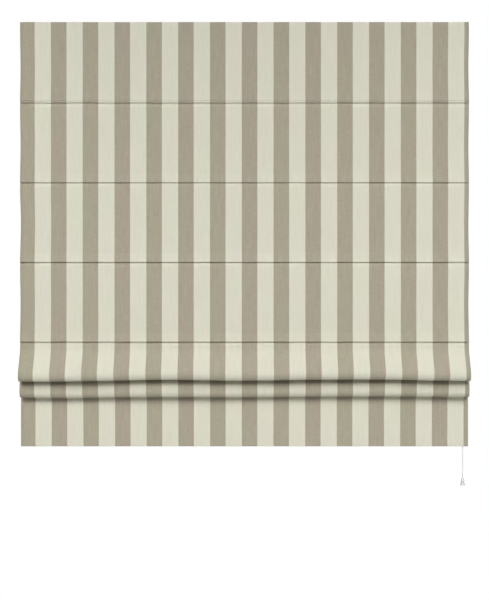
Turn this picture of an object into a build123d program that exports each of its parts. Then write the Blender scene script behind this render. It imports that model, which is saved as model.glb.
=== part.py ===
from build123d import *
import os
from math import asin, atan2, cos, degrees, radians, sin

os.makedirs("parts", exist_ok=True)

# A striped roman blind, half raised: a folded cloth with rods in sewn pockets, hung on a head rail
# by hook-and-loop tape, with its lift cords, cord lock, pull cord and wall brackets.
# Millimetres. The wall is the plane Y = 0, the front faces -Y, +X is to the right and +Z is up.
# The origin is the middle of the centre bracket's two screw holes, on the wall.

# Clearances
running_clearance = 0.1  # pins and trunnions in their holes
fit_clearance = 0.3  # pieces that lie against each other
side_clearance = 0.4  # moulded pieces inside the rail and rollers inside their slots
overrun = 2.0  # how far a cut passes the face that it opens

# Cloth: heading, flat panels and the pressed seams between them
cloth_width = 1300.0
cloth_thickness = 0.8
heading_rise = 0.5  # above the brackets
heading_turn = 27.0  # height of the turned layer behind the heading
turn_gap = 0.2  # between the two layers of a pressed turn
turn_corner_share = 0.45  # of the step between those layers
top_panel = 234.0
panel_pitch = 231.0
flat_seams = 4
crease_gap = 0.4  # between the layers at a seam's crease
neck_gap = 0.8  # between the two layers of a pocket at its seam
neck_radius = 3.0
blend_drop = 13.0  # where the panel under a seam has come forward again
blend_radius = 15.0

# Rod pockets, sewn as tucks behind the seams, and the glass-fibre rods in them
rod_radius = 2.0
rod_sides = 8
rod_inset = 8.0  # rod ends from the cloth's side edges
pocket_reach = 20.0  # seam to rod
rod_setback = 10.2  # rods behind the flat cloth
pocket_facet_share = 0.414  # of the pocket's half width, where its facets meet

# Folds, as drops below the last flat seam and reaches in front of the flat cloth
upper_fold_reach = 54.0
upper_fold_drop = 108.0
upper_fold_radius = 16.0
upper_start_drop = 26.0
upper_start_radius = 28.0
upper_belly_drop = 82.0
upper_belly_radius = 24.0
upper_hairpin_drop = 42.4
upper_hairpin_setback = 7.8
lower_fold_reach = 15.0
lower_fold_drop = 158.6
lower_fold_radius = 18.0
lower_start_setback = 6.0
lower_start_drop = 97.5
lower_belly_drop = 130.5
lower_bend_radius = 25.0
lower_hairpin_drop = 78.8
skirt_setback = 23.6
hairpin_radius = 6.0
hem_drop = 304.1

# Hem pocket and weight bar
bar_height = 20.0
bar_thickness = 3.0
bar_inset = 8.0
bar_cap_wall = 0.4
bar_cap_length = 14.0
bar_cap_end = 2.0
hem_pocket_height = 28.0
hem_close_rise = 4.0  # over which the pocket's back layer closes to the skirt
hem_allowance = 6.0
hem_close_radius = 3.0
hem_corner = 1.2

# Cord rings
ring_outer_radius = 9.5
ring_inner_radius = 7.5
ring_thickness = 2.0
ring_sides = 8
ring_columns = 3
ring_column_inset = 130.0  # outer columns from the cloth's side edges

# Wall brackets
bracket_inset = 200.0  # outer brackets from the cloth's side edges
bracket_width = 30.0
bracket_sheet = 2.0
bracket_height = 40.0
bracket_reach = 38.0
bracket_bend = 2.0  # inside radius
bracket_corner = 4.0
screw_radius = 2.5
screw_spacing = 20.0

# Head rail
rail_depth = 40.0
rail_height = 25.0
rail_wall = 1.6
rail_corner = 1.0
rail_wall_gap = 6.0  # rail behind to the wall
rail_inset = 6.0  # rail ends from the cloth's side edges
rail_drop = 3.0  # latch space between rail and bracket arm
latch_slot_width = 14.0
latch_slot_height = 5.2
guide_slot_width = 18.0
cap_plate = 3.0
cap_plug = 4.5
cap_plug_wall = 1.5

# Turn latches and their rivets
latch_lever_length = 16.0
latch_lever_width = 12.0
latch_gap = 0.4
latch_head_length = 26.0
latch_head_width = 11.0
latch_head_thickness = 3.6
latch_corner = 2.5
latch_neck_radius = 5.0
latch_neck_sides = 8
rivet_radius = 2.0
rivet_head_radius = 3.5
rivet_head = 1.2
rivet_tail = 0.7
rivet_sides = 8
rivet_square = 3.0

# Hook-and-loop tape
tape_thickness = 1.2
tape_height = 20.0
tape_drop = 1.0  # tape below the rail's top edge

# Cords
cord_radius = 0.6
cord_sides = 6
cord_lane = 2.4  # between the lift cords where they run side by side
pull_cord_radius = 1.1
knot_radius = 2.4
small_knot_radius = 1.6

# Rollers and their axles
roller_radius = 5.0
roller_flange_radius = 6.5
roller_width = 10.0
roller_flange = 1.0
roller_sides = 12
roller_gap = 0.6  # roller flange under the rail's inner web
axle_radius = 1.5
axle_length = 22.0
axle_sides = 12

# Cord guides
guide_front = 8.0  # guide to the left of its cord
guide_back = 16.0  # guide to the right of its cord
guide_headroom = 0.8
guide_slot_room = 0.7  # round the roller's flanges
cord_channel = 8.4
cord_channel_drop = 0.6  # channel floor below the cords
guide_pocket_length = 7.0
guide_pocket_width = 8.0
guide_floor = 1.6
spout_length = 12.0
spout_width = 7.4
spout_depth = 3.5
spout_hole_length = 8.4
spout_hole_width = 3.4

# Cord lock
lock_inset = 14.5  # cords in the lock from the cloth's side edge
lock_left_room = 28.5  # housing to the left of the cords
lock_wall = 2.6
snout_left_room = 16.0
snout_depth = 15.6
snout_floor = 2.6
snout_corner = 2.5
lock_roller_radius = 3.5
lock_roller_width = 9.0
lock_roller_drop = 14.5  # below the wheel
lock_slot_angle = 37.0  # from upright
lock_slot_travel = 4.0
trunnion_radius = 1.5
trunnion_clearance = 0.15

# Break-away connector and bell
connector_radius = 8.0
connector_wall = 1.4
connector_top = -62.0
connector_cap_height = 14.0
connector_cup_height = 16.0
connector_lip = 3.0
connector_sides = 8
connector_hole_radius = 0.75
pull_hole_radius = 1.3
bell_height = 20.0
bell_top_radius = 3.2
bell_mouth_radius = 7.0
bell_wall = 1.2
bell_roof = 3.0
bell_sides = 16
pull_below_hem = 93.4  # bell top below the hem
pull_bend_radius = 1304.0  # where the cord passes the hem
pull_setback = 6.9  # cord behind the lock's cords where it passes the hem

# Places that follow from these sizes
bracket_top = bracket_height / 2
arm_under = bracket_top - bracket_sheet
rail_top = arm_under - rail_drop
rail_bottom = rail_top - rail_height
rail_y = -rail_wall_gap - rail_depth / 2
rail_front = -rail_wall_gap - rail_depth
rail_half = cloth_width / 2 - rail_inset
latch_floor = rail_top - rail_wall - latch_slot_height
guide_ceiling = latch_floor - rail_wall
guide_seat = rail_bottom + rail_wall
chamber_depth = rail_depth - 2 * rail_wall
tape_top = rail_top - tape_drop

cloth_top = bracket_top + heading_rise
half_sheet = cloth_thickness / 2
heading_y = rail_front - 2 * tape_thickness - half_sheet
sheet_y = heading_y - cloth_thickness - turn_gap
seams = [cloth_top - top_panel - k * panel_pitch for k in range(flat_seams)]
last_seam = seams[-1]
hem_bottom = last_seam - hem_drop
skirt_y = sheet_y + skirt_setback

roller_z = guide_ceiling - roller_gap - roller_flange_radius
wrap_radius = roller_radius + fit_clearance + cord_radius
run_z = roller_z + wrap_radius
outer_column = cloth_width / 2 - ring_column_inset
column_places = [outer_column * (2 * k / (ring_columns - 1) - 1) for k in range(ring_columns)]
lane_places = [rail_y + (k - (ring_columns - 1) / 2) * cord_lane for k in range(ring_columns)]
outer_bracket = cloth_width / 2 - bracket_inset
bracket_places = {"left": -outer_bracket, "centre": 0, "right": outer_bracket}
lock_cord_place = cloth_width / 2 - lock_inset


def write(piece, name):
    piece.part.label = name
    export_step(piece.part, f"parts/{name}.step")


def length_of(path):
    return sum(edge.length for edge in path.edges())


# Rod pockets: where each rod lies, and the corners of the cloth round it
pocket_half = rod_radius + fit_clearance + half_sheet
pocket_facet = pocket_facet_share * pocket_half
neck_half = (cloth_thickness + neck_gap) / 2
crease_step = cloth_thickness + crease_gap


def rod_above(neck_y, neck_z, rod_y):
    rise = pocket_reach * cos(asin((rod_y - neck_y) / pocket_reach))
    return Vector(rod_y, neck_z + rise)


def pocket_end(neck_y, neck_z, rod):
    along = (rod - Vector(neck_y, neck_z)).normalized()
    front = Vector(-along.Y, along.X)
    facets = [(pocket_half, pocket_facet), (pocket_facet, pocket_half)]
    facets += [(-forward, rise) for forward, rise in reversed(facets)]
    return [(rod + front * forward + along * rise, 0) for forward, rise in facets]


# Cloth: one sheet, followed from the heading's turned edge to the hem, as (y, z) corners with radii
turn_radius = (cloth_thickness + turn_gap) * turn_corner_share
cloth_route = [
    ((heading_y, cloth_top - heading_turn), 0),
    ((heading_y, cloth_top - half_sheet), turn_radius),
    ((sheet_y, cloth_top - half_sheet), turn_radius),
]
rod_places = []
for seam in seams:
    flat_neck_y = sheet_y + crease_step + neck_half
    rod = rod_above(flat_neck_y, seam, sheet_y + rod_setback)
    rod_places.append(rod)
    cloth_route += [
        ((sheet_y, seam), crease_step / 2),
        ((sheet_y + crease_step, seam), crease_step / 2),
        *pocket_end(flat_neck_y, seam, rod),
        ((flat_neck_y + neck_half, seam), neck_radius),
        ((sheet_y, seam - blend_drop), blend_radius),
    ]

# The upper fold, from the last flat seam round to the fifth rod's pocket
upper_front = sheet_y - upper_fold_reach
upper_bottom = last_seam - upper_fold_drop
hairpin_y = sheet_y + upper_hairpin_setback
hairpin_z = last_seam - upper_hairpin_drop
rod = rod_above(hairpin_y, hairpin_z, sheet_y + rod_setback)
rod_places.append(rod)
cloth_route += [
    ((sheet_y, last_seam - upper_start_drop), upper_start_radius),
    ((upper_front, last_seam - upper_belly_drop), upper_belly_radius),
    ((upper_front, upper_bottom), upper_fold_radius),
    ((upper_front + 2 * upper_fold_radius, upper_bottom), upper_fold_radius),
    ((hairpin_y - neck_half, hairpin_z), hairpin_radius),
    *pocket_end(hairpin_y, hairpin_z, rod),
    ((hairpin_y + neck_half, hairpin_z), hairpin_radius),
]

# The lower fold, round to the sixth rod's pocket, which stands straight up over the skirt
lower_front = sheet_y - lower_fold_reach
lower_bottom = last_seam - lower_fold_drop
hairpin_y = skirt_y - neck_half
hairpin_z = last_seam - lower_hairpin_drop
rod = rod_above(hairpin_y, hairpin_z, hairpin_y)
rod_places.append(rod)
cloth_route += [
    ((sheet_y + lower_start_setback, last_seam - lower_start_drop), lower_bend_radius),
    ((lower_front, last_seam - lower_belly_drop), lower_bend_radius),
    ((lower_front, lower_bottom), lower_fold_radius),
    ((lower_front + 2 * lower_fold_radius, lower_bottom), lower_fold_radius),
    ((hairpin_y - neck_half, hairpin_z), hairpin_radius),
    *pocket_end(hairpin_y, hairpin_z, rod),
    ((hairpin_y + neck_half, hairpin_z), hairpin_radius),
]

# The skirt's hem, turned up behind to hold the weight bar
bar_cap_thickness = bar_thickness + 2 * bar_cap_wall
hem_step = bar_cap_thickness + 2 * fit_clearance + cloth_thickness
hem_inside = hem_bottom + half_sheet
hem_close_top = hem_inside + hem_pocket_height + hem_close_rise
cloth_route += [
    ((skirt_y, hem_inside), hem_corner),
    ((skirt_y + hem_step, hem_inside), hem_corner),
    ((skirt_y + hem_step, hem_inside + hem_pocket_height), hem_close_radius),
    ((skirt_y + crease_step, hem_close_top), hem_close_radius),
    ((skirt_y + crease_step, hem_close_top + hem_allowance), 0),
]

with BuildPart() as blind_cloth:
    with BuildSketch(Plane.YZ):
        with BuildLine() as cloth_line:
            FilletPolyline(
                *[corner for corner, radius in cloth_route],
                radius=[radius for corner, radius in cloth_route[1:-1]],
            )
        cloth_outline = offset(cloth_line.line, half_sheet, side=Side.BOTH, mode=Mode.PRIVATE)
        make_face(cloth_outline.edges())
    extrude(amount=cloth_width / 2, both=True)
write(blind_cloth, "blind_cloth")
print("cloth length along the sheet", round(length_of(cloth_line), 1))

# Stiffening rods
rod_half = cloth_width / 2 - rod_inset
for number, rod in enumerate(rod_places, 1):
    with BuildPart() as stiffening_rod:
        with BuildSketch(Plane.YZ):
            with Locations((rod.X, rod.Y)):
                RegularPolygon(rod_radius, rod_sides)
        extrude(amount=rod_half, both=True)
    write(stiffening_rod, f"stiffening_rod_{number}")

# Cord rings: flat behind the first five pockets, upright on top of the last one
pocket_skin = pocket_half + half_sheet + fit_clearance
flat_to_pocket = 180 / ring_sides
for number, rod in enumerate(rod_places, 1):
    with BuildPart() as rod_rings:
        if number < len(rod_places):
            ring_y = rod.X + pocket_skin + ring_outer_radius
            ring_planes = [Plane((x, ring_y, rod.Y)) for x in column_places]
        else:
            top_ring_z = rod.Y + pocket_skin + ring_outer_radius
            ring_planes = [Plane((x, rail_y, top_ring_z), z_dir=(1, 0, 0)) for x in column_places]
        for plane in ring_planes:
            with BuildSketch(plane):
                RegularPolygon(ring_outer_radius, ring_sides, False, flat_to_pocket)
                RegularPolygon(ring_inner_radius, ring_sides, False, flat_to_pocket, mode=Mode.SUBTRACT)
        extrude(amount=ring_thickness / 2, both=True)
    write(rod_rings, f"rod_rings_{number}")

# Weight bar and its end caps
bar_half = cloth_width / 2 - bar_inset
bar_y = skirt_y + hem_step / 2
bar_z = hem_bottom + cloth_thickness + fit_clearance + bar_cap_wall + bar_height / 2
with BuildPart() as bottom_bar:
    with BuildSketch(Plane.YZ):
        with Locations((bar_y, bar_z)):
            Rectangle(bar_thickness, bar_height)
    extrude(amount=bar_half, both=True)
write(bottom_bar, "bottom_bar")

for side, sign in {"left": -1, "right": 1}.items():
    with BuildPart() as bar_cap:
        with BuildSketch(Plane.YZ.offset(sign * (bar_half - bar_cap_length))):
            with Locations((bar_y, bar_z)):
                Rectangle(bar_cap_thickness, bar_height + 2 * bar_cap_wall)
        extrude(amount=sign * (bar_cap_length + bar_cap_end))
        with BuildSketch(Plane.YZ.offset(sign * (bar_half - bar_cap_length))):
            with Locations((bar_y, bar_z)):
                Rectangle(bar_thickness, bar_height)
        extrude(amount=sign * bar_cap_length, mode=Mode.SUBTRACT)
    write(bar_cap, f"bottom_bar_cap_{side}")

# Head rail: closed web in the middle, latch slot above it and guide chamber below
with BuildPart() as headrail:
    with BuildSketch(Plane.YZ) as rail_outline:
        with Locations((rail_y, (rail_top + rail_bottom) / 2)):
            Rectangle(rail_depth, rail_height)
        chamfer(rail_outline.vertices(), rail_corner)
        with Locations((rail_y, latch_floor)):
            Rectangle(chamber_depth, latch_slot_height, align=(Align.CENTER, Align.MIN), mode=Mode.SUBTRACT)
            Rectangle(latch_slot_width, rail_height, align=(Align.CENTER, Align.MIN), mode=Mode.SUBTRACT)
        with Locations((rail_y, guide_ceiling)):
            Rectangle(
                chamber_depth, guide_ceiling - guide_seat,
                align=(Align.CENTER, Align.MAX), mode=Mode.SUBTRACT,
            )
            Rectangle(guide_slot_width, rail_height, align=(Align.CENTER, Align.MAX), mode=Mode.SUBTRACT)
    extrude(amount=rail_half, both=True)
write(headrail, "headrail")

plug_width = chamber_depth - 2 * side_clearance
plug_height = guide_ceiling - guide_seat - 2 * side_clearance
for side, sign in {"left": -1, "right": 1}.items():
    with BuildPart() as end_cap:
        with BuildSketch(Plane.YZ.offset(sign * rail_half)) as cap_outline:
            with Locations((rail_y, (rail_top + rail_bottom) / 2)):
                Rectangle(rail_depth, rail_height)
            chamfer(cap_outline.vertices(), rail_corner)
        extrude(amount=sign * cap_plate)
        with BuildSketch(Plane.YZ.offset(sign * rail_half)):
            with Locations((rail_y, (guide_ceiling + guide_seat) / 2)):
                Rectangle(plug_width, plug_height)
                Rectangle(
                    plug_width - 2 * cap_plug_wall, plug_height - 2 * cap_plug_wall, mode=Mode.SUBTRACT
                )
        extrude(amount=-sign * cap_plug)
    write(end_cap, f"end_cap_{side}")

# Hook tape on the rail and loop tape on the cloth
for name, front in {"hook_tape": rail_front, "loop_tape": rail_front - tape_thickness}.items():
    with BuildPart() as tape:
        with BuildSketch(Plane.YZ):
            with Locations((front, tape_top)):
                Rectangle(tape_thickness, tape_height, align=(Align.MAX, Align.MAX))
        extrude(amount=rail_half, both=True)
    write(tape, name)

# Wall brackets: bent angles with two screw holes and a rivet hole
for name, x in bracket_places.items():
    with BuildPart() as wall_bracket:
        with BuildSketch(Plane.YZ.offset(x)) as angle:
            with Locations((0, bracket_top)):
                Rectangle(bracket_sheet, bracket_height, align=(Align.MAX, Align.MAX))
                Rectangle(bracket_reach, bracket_sheet, align=(Align.MAX, Align.MAX))
            bend_outside = angle.vertices().sort_by_distance((0, bracket_top))[0]
            fillet(bend_outside, bracket_bend + bracket_sheet)
            bend_inside = angle.vertices().sort_by_distance((-bracket_sheet, arm_under))[0]
            fillet(bend_inside, bracket_bend)
        extrude(amount=bracket_width / 2, both=True)
        chamfer(wall_bracket.edges().filter_by(Axis.Y).group_by(Axis.Z)[0], bracket_corner)
        chamfer(wall_bracket.edges().filter_by(Axis.Z).group_by(Axis.Y)[0], bracket_corner)
        with BuildSketch(Plane.XZ):
            with Locations((x, screw_spacing / 2), (x, -screw_spacing / 2)):
                Circle(screw_radius)
        extrude(amount=bracket_sheet + overrun, both=True, mode=Mode.SUBTRACT)
        with BuildSketch(Plane.XY.offset(arm_under)):
            with Locations((x, rail_y)):
                Rectangle(rivet_square, rivet_square)
        extrude(amount=bracket_sheet + overrun, both=True, mode=Mode.SUBTRACT)
    write(wall_bracket, f"wall_bracket_{name}")

# Turn latches: lever above the rail, neck in its slot, oblong head under its lips
lever_bottom = rail_top + latch_gap
lever_top = arm_under - latch_gap
head_top = rail_top - rail_wall - fit_clearance
head_bottom = head_top - latch_head_thickness
for name, x in bracket_places.items():
    with BuildPart() as latch:
        with BuildSketch(Plane.XY.offset(lever_bottom)):
            with Locations((x - latch_lever_width / 2, rail_y)):
                Rectangle(
                    latch_lever_length + latch_lever_width / 2, latch_lever_width,
                    align=(Align.MIN, Align.CENTER),
                )
        extrude(amount=lever_top - lever_bottom)
        chamfer(latch.edges().filter_by(Axis.Z), latch_corner)
        with BuildSketch(Plane.XY.offset(head_bottom)) as head:
            with Locations((x, rail_y)):
                Rectangle(latch_head_width, latch_head_length)
            chamfer(head.vertices(), latch_corner)
        extrude(amount=latch_head_thickness)
        with BuildSketch(Plane.XY.offset(head_top)):
            with Locations((x, rail_y)):
                RegularPolygon(latch_neck_radius, latch_neck_sides)
        extrude(amount=lever_bottom - head_top)
        with BuildSketch(Plane.XY.offset(head_bottom)):
            with Locations((x, rail_y)):
                Circle(rivet_radius + running_clearance)
        extrude(amount=rail_height, mode=Mode.SUBTRACT)
    write(latch, f"latch_{name}")

with BuildPart() as latch_rivets:
    rivet_tail_top = head_bottom - fit_clearance
    with BuildSketch(Plane.XY.offset(rivet_tail_top - rivet_tail)):
        with Locations(*[(x, rail_y) for x in bracket_places.values()]):
            RegularPolygon(rivet_head_radius, rivet_sides)
    extrude(amount=rivet_tail)
    with BuildSketch(Plane.XY.offset(rivet_tail_top)):
        with Locations(*[(x, rail_y) for x in bracket_places.values()]):
            RegularPolygon(rivet_radius, axle_sides)
    extrude(amount=arm_under - rivet_tail_top)
    with BuildSketch(Plane.XY.offset(arm_under)):
        with Locations(*[(x, rail_y) for x in bracket_places.values()]):
            Rectangle(rivet_square, rivet_square)
    extrude(amount=bracket_sheet)
    with BuildSketch(Plane.XY.offset(bracket_top)):
        with Locations(*[(x, rail_y) for x in bracket_places.values()]):
            RegularPolygon(rivet_head_radius, rivet_sides)
    extrude(amount=rivet_head)
write(latch_rivets, "latch_rivets")

# Grooved rollers, alike in the guides and the cord lock
lock_wheel_x = lock_cord_place - wrap_radius
roller_places = {f"guide_roller_{k}": x + wrap_radius for k, x in enumerate(column_places, 1)}
roller_places["cord_lock_wheel"] = lock_wheel_x
bore_radius = axle_radius + running_clearance
groove_half = roller_width / 2 - roller_flange
for name, x in roller_places.items():
    with BuildPart() as roller:
        axle_plane = Plane((x, rail_y, roller_z), x_dir=(1, 0, 0), z_dir=(0, -1, 0))
        with BuildSketch(axle_plane):
            RegularPolygon(roller_radius, roller_sides)
        extrude(amount=roller_width / 2, both=True)
        for side in (-1, 1):
            with BuildSketch(axle_plane.offset(side * groove_half)):
                RegularPolygon(roller_flange_radius, roller_sides)
            extrude(amount=side * roller_flange)
        with BuildSketch(axle_plane):
            Circle(bore_radius)
        extrude(amount=roller_width, both=True, mode=Mode.SUBTRACT)
    write(roller, name)

with BuildPart() as guide_axles:
    with BuildSketch(Plane((0, rail_y, 0), x_dir=(1, 0, 0), z_dir=(0, -1, 0))):
        with Locations(*[(x + wrap_radius, roller_z) for x in column_places]):
            RegularPolygon(axle_radius, axle_sides)
    extrude(amount=axle_length / 2, both=True)
write(guide_axles, "guide_axles")

with BuildPart() as cord_lock_axle:
    with BuildSketch(Plane((0, rail_y, 0), x_dir=(1, 0, 0), z_dir=(0, -1, 0))):
        with Locations((lock_wheel_x, roller_z)):
            RegularPolygon(axle_radius, axle_sides)
    extrude(amount=axle_length / 2, both=True)
write(cord_lock_axle, "cord_lock_axle")

# Cord guides: blocks on the rail's lips, with a slot for the roller and a spout for the cord
guide_top = guide_ceiling - guide_headroom
slot_width = roller_width + 2 * side_clearance
slot_half_length = roller_flange_radius + guide_slot_room
slot_floor = roller_z - slot_half_length
channel_floor = run_z - cord_radius - cord_channel_drop
tongue_width = guide_slot_width - 2 * fit_clearance
guide_length = guide_front + guide_back
for number, x in enumerate(column_places, 1):
    roller_x = x + wrap_radius
    guide_x = x + (guide_back - guide_front) / 2
    with BuildPart() as cord_guide:
        with BuildSketch(Plane.XY.offset(guide_seat)):
            with Locations((guide_x, rail_y)):
                Rectangle(guide_length, plug_width)
        extrude(amount=guide_top - guide_seat)
        with BuildSketch(Plane.XY.offset(guide_seat)):
            with Locations((guide_x, rail_y)):
                Rectangle(guide_length, tongue_width)
        extrude(amount=-rail_wall)
        with BuildSketch(Plane.XY.offset(rail_bottom)):
            with Locations((x, rail_y)):
                Rectangle(spout_width, spout_length)
        extrude(amount=-spout_depth)
        with BuildSketch(Plane.XY.offset(slot_floor)):
            with Locations((roller_x, rail_y)):
                Rectangle(2 * slot_half_length, slot_width)
        extrude(amount=rail_height, mode=Mode.SUBTRACT)
        with BuildSketch(Plane.XY.offset(channel_floor)):
            with Locations((guide_x, rail_y)):
                Rectangle(guide_length + overrun, cord_channel)
        extrude(amount=rail_height, mode=Mode.SUBTRACT)
        with BuildSketch(Plane.XY.offset(rail_bottom - spout_depth)):
            with Locations((x, rail_y)):
                Rectangle(spout_hole_width, spout_hole_length)
        extrude(amount=rail_height, mode=Mode.SUBTRACT)
        with BuildSketch(Plane.XY.offset(guide_seat + guide_floor)):
            pocket_y = (plug_width - guide_pocket_width) / 2 - rail_wall
            with Locations((guide_x, rail_y)):
                with GridLocations(guide_length / 2, 2 * pocket_y, 2, 2):
                    Rectangle(guide_pocket_length, guide_pocket_width)
        extrude(amount=rail_height, mode=Mode.SUBTRACT)
        with BuildSketch(Plane((0, rail_y, 0), x_dir=(1, 0, 0), z_dir=(0, -1, 0))):
            with Locations((roller_x, roller_z)):
                RegularPolygon(axle_radius, axle_sides)
        extrude(amount=axle_length / 2, both=True, mode=Mode.SUBTRACT)
    write(cord_guide, f"cord_guide_{number}")

# Cord lock: wheel above, and a pinching roller in slanted slots in the snout below the rail
lock_right = lock_cord_place + cord_radius + fit_clearance + lock_wall
lock_left = lock_cord_place - lock_left_room
snout_left = lock_cord_place - snout_left_room
snout_bottom = guide_seat - snout_depth
lock_slot_left = lock_wheel_x - slot_half_length
lock_slot_right = lock_right - lock_wall
lock_roller_x = lock_cord_place - cord_radius - fit_clearance - lock_roller_radius
lock_roller_z = roller_z - lock_roller_drop
lock_slot_way = Vector(-sin(radians(lock_slot_angle)), cos(radians(lock_slot_angle))) * lock_slot_travel
with BuildPart() as cord_lock_housing:
    with BuildSketch(Plane.XY.offset(guide_seat)):
        with Locations((lock_left, rail_y)):
            Rectangle(lock_right - lock_left, plug_width, align=(Align.MIN, Align.CENTER))
    extrude(amount=guide_top - guide_seat)
    with BuildSketch(Plane.XY.offset(guide_seat)):
        with Locations((snout_left, rail_y)):
            Rectangle(lock_right - snout_left, tongue_width, align=(Align.MIN, Align.CENTER))
    extrude(amount=-snout_depth)
    fillet(cord_lock_housing.edges().filter_by(Axis.Y).group_by(Axis.Z)[0], snout_corner)
    with BuildSketch(Plane.XY.offset(snout_bottom + snout_floor)):
        with Locations((lock_slot_left, rail_y)):
            Rectangle(lock_slot_right - lock_slot_left, slot_width, align=(Align.MIN, Align.CENTER))
    extrude(amount=rail_height + snout_depth, mode=Mode.SUBTRACT)
    with BuildSketch(Plane.XY.offset(channel_floor)):
        with Locations((lock_left - overrun, rail_y)):
            Rectangle(lock_wheel_x - lock_left + overrun, cord_channel, align=(Align.MIN, Align.CENTER))
    extrude(amount=rail_height, mode=Mode.SUBTRACT)
    with BuildSketch(Plane.XY.offset(snout_bottom)):
        with Locations((lock_slot_right, rail_y)):
            Rectangle(
                2 * (cord_radius + fit_clearance), cord_channel,
                align=(Align.MAX, Align.CENTER),
            )
    extrude(amount=snout_depth, mode=Mode.SUBTRACT)
    with BuildSketch(Plane((0, rail_y, 0), x_dir=(1, 0, 0), z_dir=(0, -1, 0))):
        with Locations((lock_wheel_x, roller_z)):
            RegularPolygon(axle_radius, axle_sides)
    extrude(amount=axle_length / 2, both=True, mode=Mode.SUBTRACT)
    with BuildSketch(Plane((0, rail_y, 0), x_dir=(1, 0, 0), z_dir=(0, -1, 0))):
        with Locations((lock_roller_x + lock_slot_way.X / 2, lock_roller_z + lock_slot_way.Y / 2)):
            Rectangle(
                2 * (trunnion_radius + trunnion_clearance),
                lock_slot_travel + 2 * (trunnion_radius + trunnion_clearance),
                rotation=lock_slot_angle,
            )
    extrude(amount=rail_depth, both=True, mode=Mode.SUBTRACT)
write(cord_lock_housing, "cord_lock_housing")

with BuildPart() as cord_lock_roller:
    with BuildSketch(Plane((0, rail_y, 0), x_dir=(1, 0, 0), z_dir=(0, -1, 0))):
        with Locations((lock_roller_x, lock_roller_z)):
            RegularPolygon(lock_roller_radius, roller_sides)
    extrude(amount=lock_roller_width / 2, both=True)
    with BuildSketch(Plane((0, rail_y, 0), x_dir=(1, 0, 0), z_dir=(0, -1, 0))):
        with Locations((lock_roller_x, lock_roller_z)):
            RegularPolygon(trunnion_radius, axle_sides)
    extrude(amount=tongue_width / 2 - fit_clearance, both=True)
write(cord_lock_roller, "cord_lock_roller")

# Break-away connector: a cap that the lift cords are knotted in, pushed into a cup on the pull cord
connector_join = connector_top - connector_cap_height
connector_bottom = connector_join - connector_cup_height
connector_roof = connector_top - connector_wall
connector_inside = connector_radius - connector_wall
lip_outside = connector_inside - running_clearance
lip_inside = lip_outside - connector_wall
connector_middle = (lock_cord_place, rail_y)
with BuildPart() as cord_connector_top:
    with BuildSketch(Plane.XY.offset(connector_join)):
        with Locations(connector_middle):
            RegularPolygon(connector_radius, connector_sides)
    extrude(amount=connector_cap_height)
    chamfer(cord_connector_top.faces().sort_by(Axis.Z)[-1].edges(), connector_wall)
    with BuildSketch(Plane.XY.offset(connector_join)):
        with Locations(connector_middle):
            RegularPolygon(lip_outside, connector_sides)
    extrude(amount=-connector_lip)
    with BuildSketch(Plane.XY.offset(connector_join - connector_lip)):
        with Locations(connector_middle):
            RegularPolygon(lip_inside, connector_sides)
    extrude(amount=connector_roof - connector_join + connector_lip, mode=Mode.SUBTRACT)
    with BuildSketch(Plane.XY.offset(connector_roof)):
        with Locations(*[(lock_cord_place, lane) for lane in lane_places]):
            RegularPolygon(connector_hole_radius, cord_sides)
    extrude(amount=connector_wall, mode=Mode.SUBTRACT)
write(cord_connector_top, "cord_connector_top")

with BuildPart() as cord_connector_bottom:
    with BuildSketch(Plane.XY.offset(connector_bottom)):
        with Locations(connector_middle):
            RegularPolygon(connector_radius, connector_sides)
    extrude(amount=connector_cup_height)
    chamfer(cord_connector_bottom.faces().sort_by(Axis.Z)[0].edges(), connector_wall)
    with BuildSketch(Plane.XY.offset(connector_bottom + connector_wall)):
        with Locations(connector_middle):
            RegularPolygon(connector_inside, connector_sides)
    extrude(amount=connector_cup_height, mode=Mode.SUBTRACT)
    with BuildSketch(Plane.XY.offset(connector_bottom)):
        with Locations(connector_middle):
            RegularPolygon(pull_hole_radius, cord_sides)
    extrude(amount=connector_wall, mode=Mode.SUBTRACT)
write(cord_connector_bottom, "cord_connector_bottom")

# Lift cords: from a knot round the lowest ring, over the roller, along the rail and down through the lock
tied_ring_z = rod_places[-1].Y + pocket_skin + ring_outer_radius
tie_z = tied_ring_z + (ring_outer_radius + ring_inner_radius) / 2
for number, (x, lane) in enumerate(zip(column_places, lane_places), 1):
    knot_z = connector_roof - fit_clearance - small_knot_radius * (1 + 2 * (number % 2))
    route = [
        Vector(x, lane, tie_z),
        Vector(x, lane, run_z),
        Vector(lock_cord_place, lane, run_z),
        Vector(lock_cord_place, lane, knot_z),
    ]
    with BuildPart() as lift_cord:
        with BuildLine() as cord_path:
            FilletPolyline(*route, radius=wrap_radius)
        with BuildSketch(Plane(cord_path.line @ 0, z_dir=cord_path.line % 0)):
            RegularPolygon(cord_radius, cord_sides)
        sweep()
        with BuildSketch(Plane((x, lane, tie_z))):
            RegularPolygon(knot_radius, cord_sides)
        extrude(amount=knot_radius, both=True)
        with BuildSketch(Plane((x, rail_y, tied_ring_z), z_dir=(1, 0, 0))):
            RegularPolygon(ring_outer_radius + running_clearance, ring_sides, False, flat_to_pocket)
            RegularPolygon(
                ring_inner_radius - running_clearance, ring_sides, False, flat_to_pocket, mode=Mode.SUBTRACT
            )
        extrude(amount=ring_thickness / 2 + running_clearance, both=True, mode=Mode.SUBTRACT)
        with BuildSketch(Plane((lock_cord_place, lane, knot_z))):
            RegularPolygon(small_knot_radius, cord_sides)
        extrude(amount=small_knot_radius, both=True)
    write(lift_cord, f"lift_cord_{number}")
    print("lift cord", number, "length", round(length_of(cord_path), 1))

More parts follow.
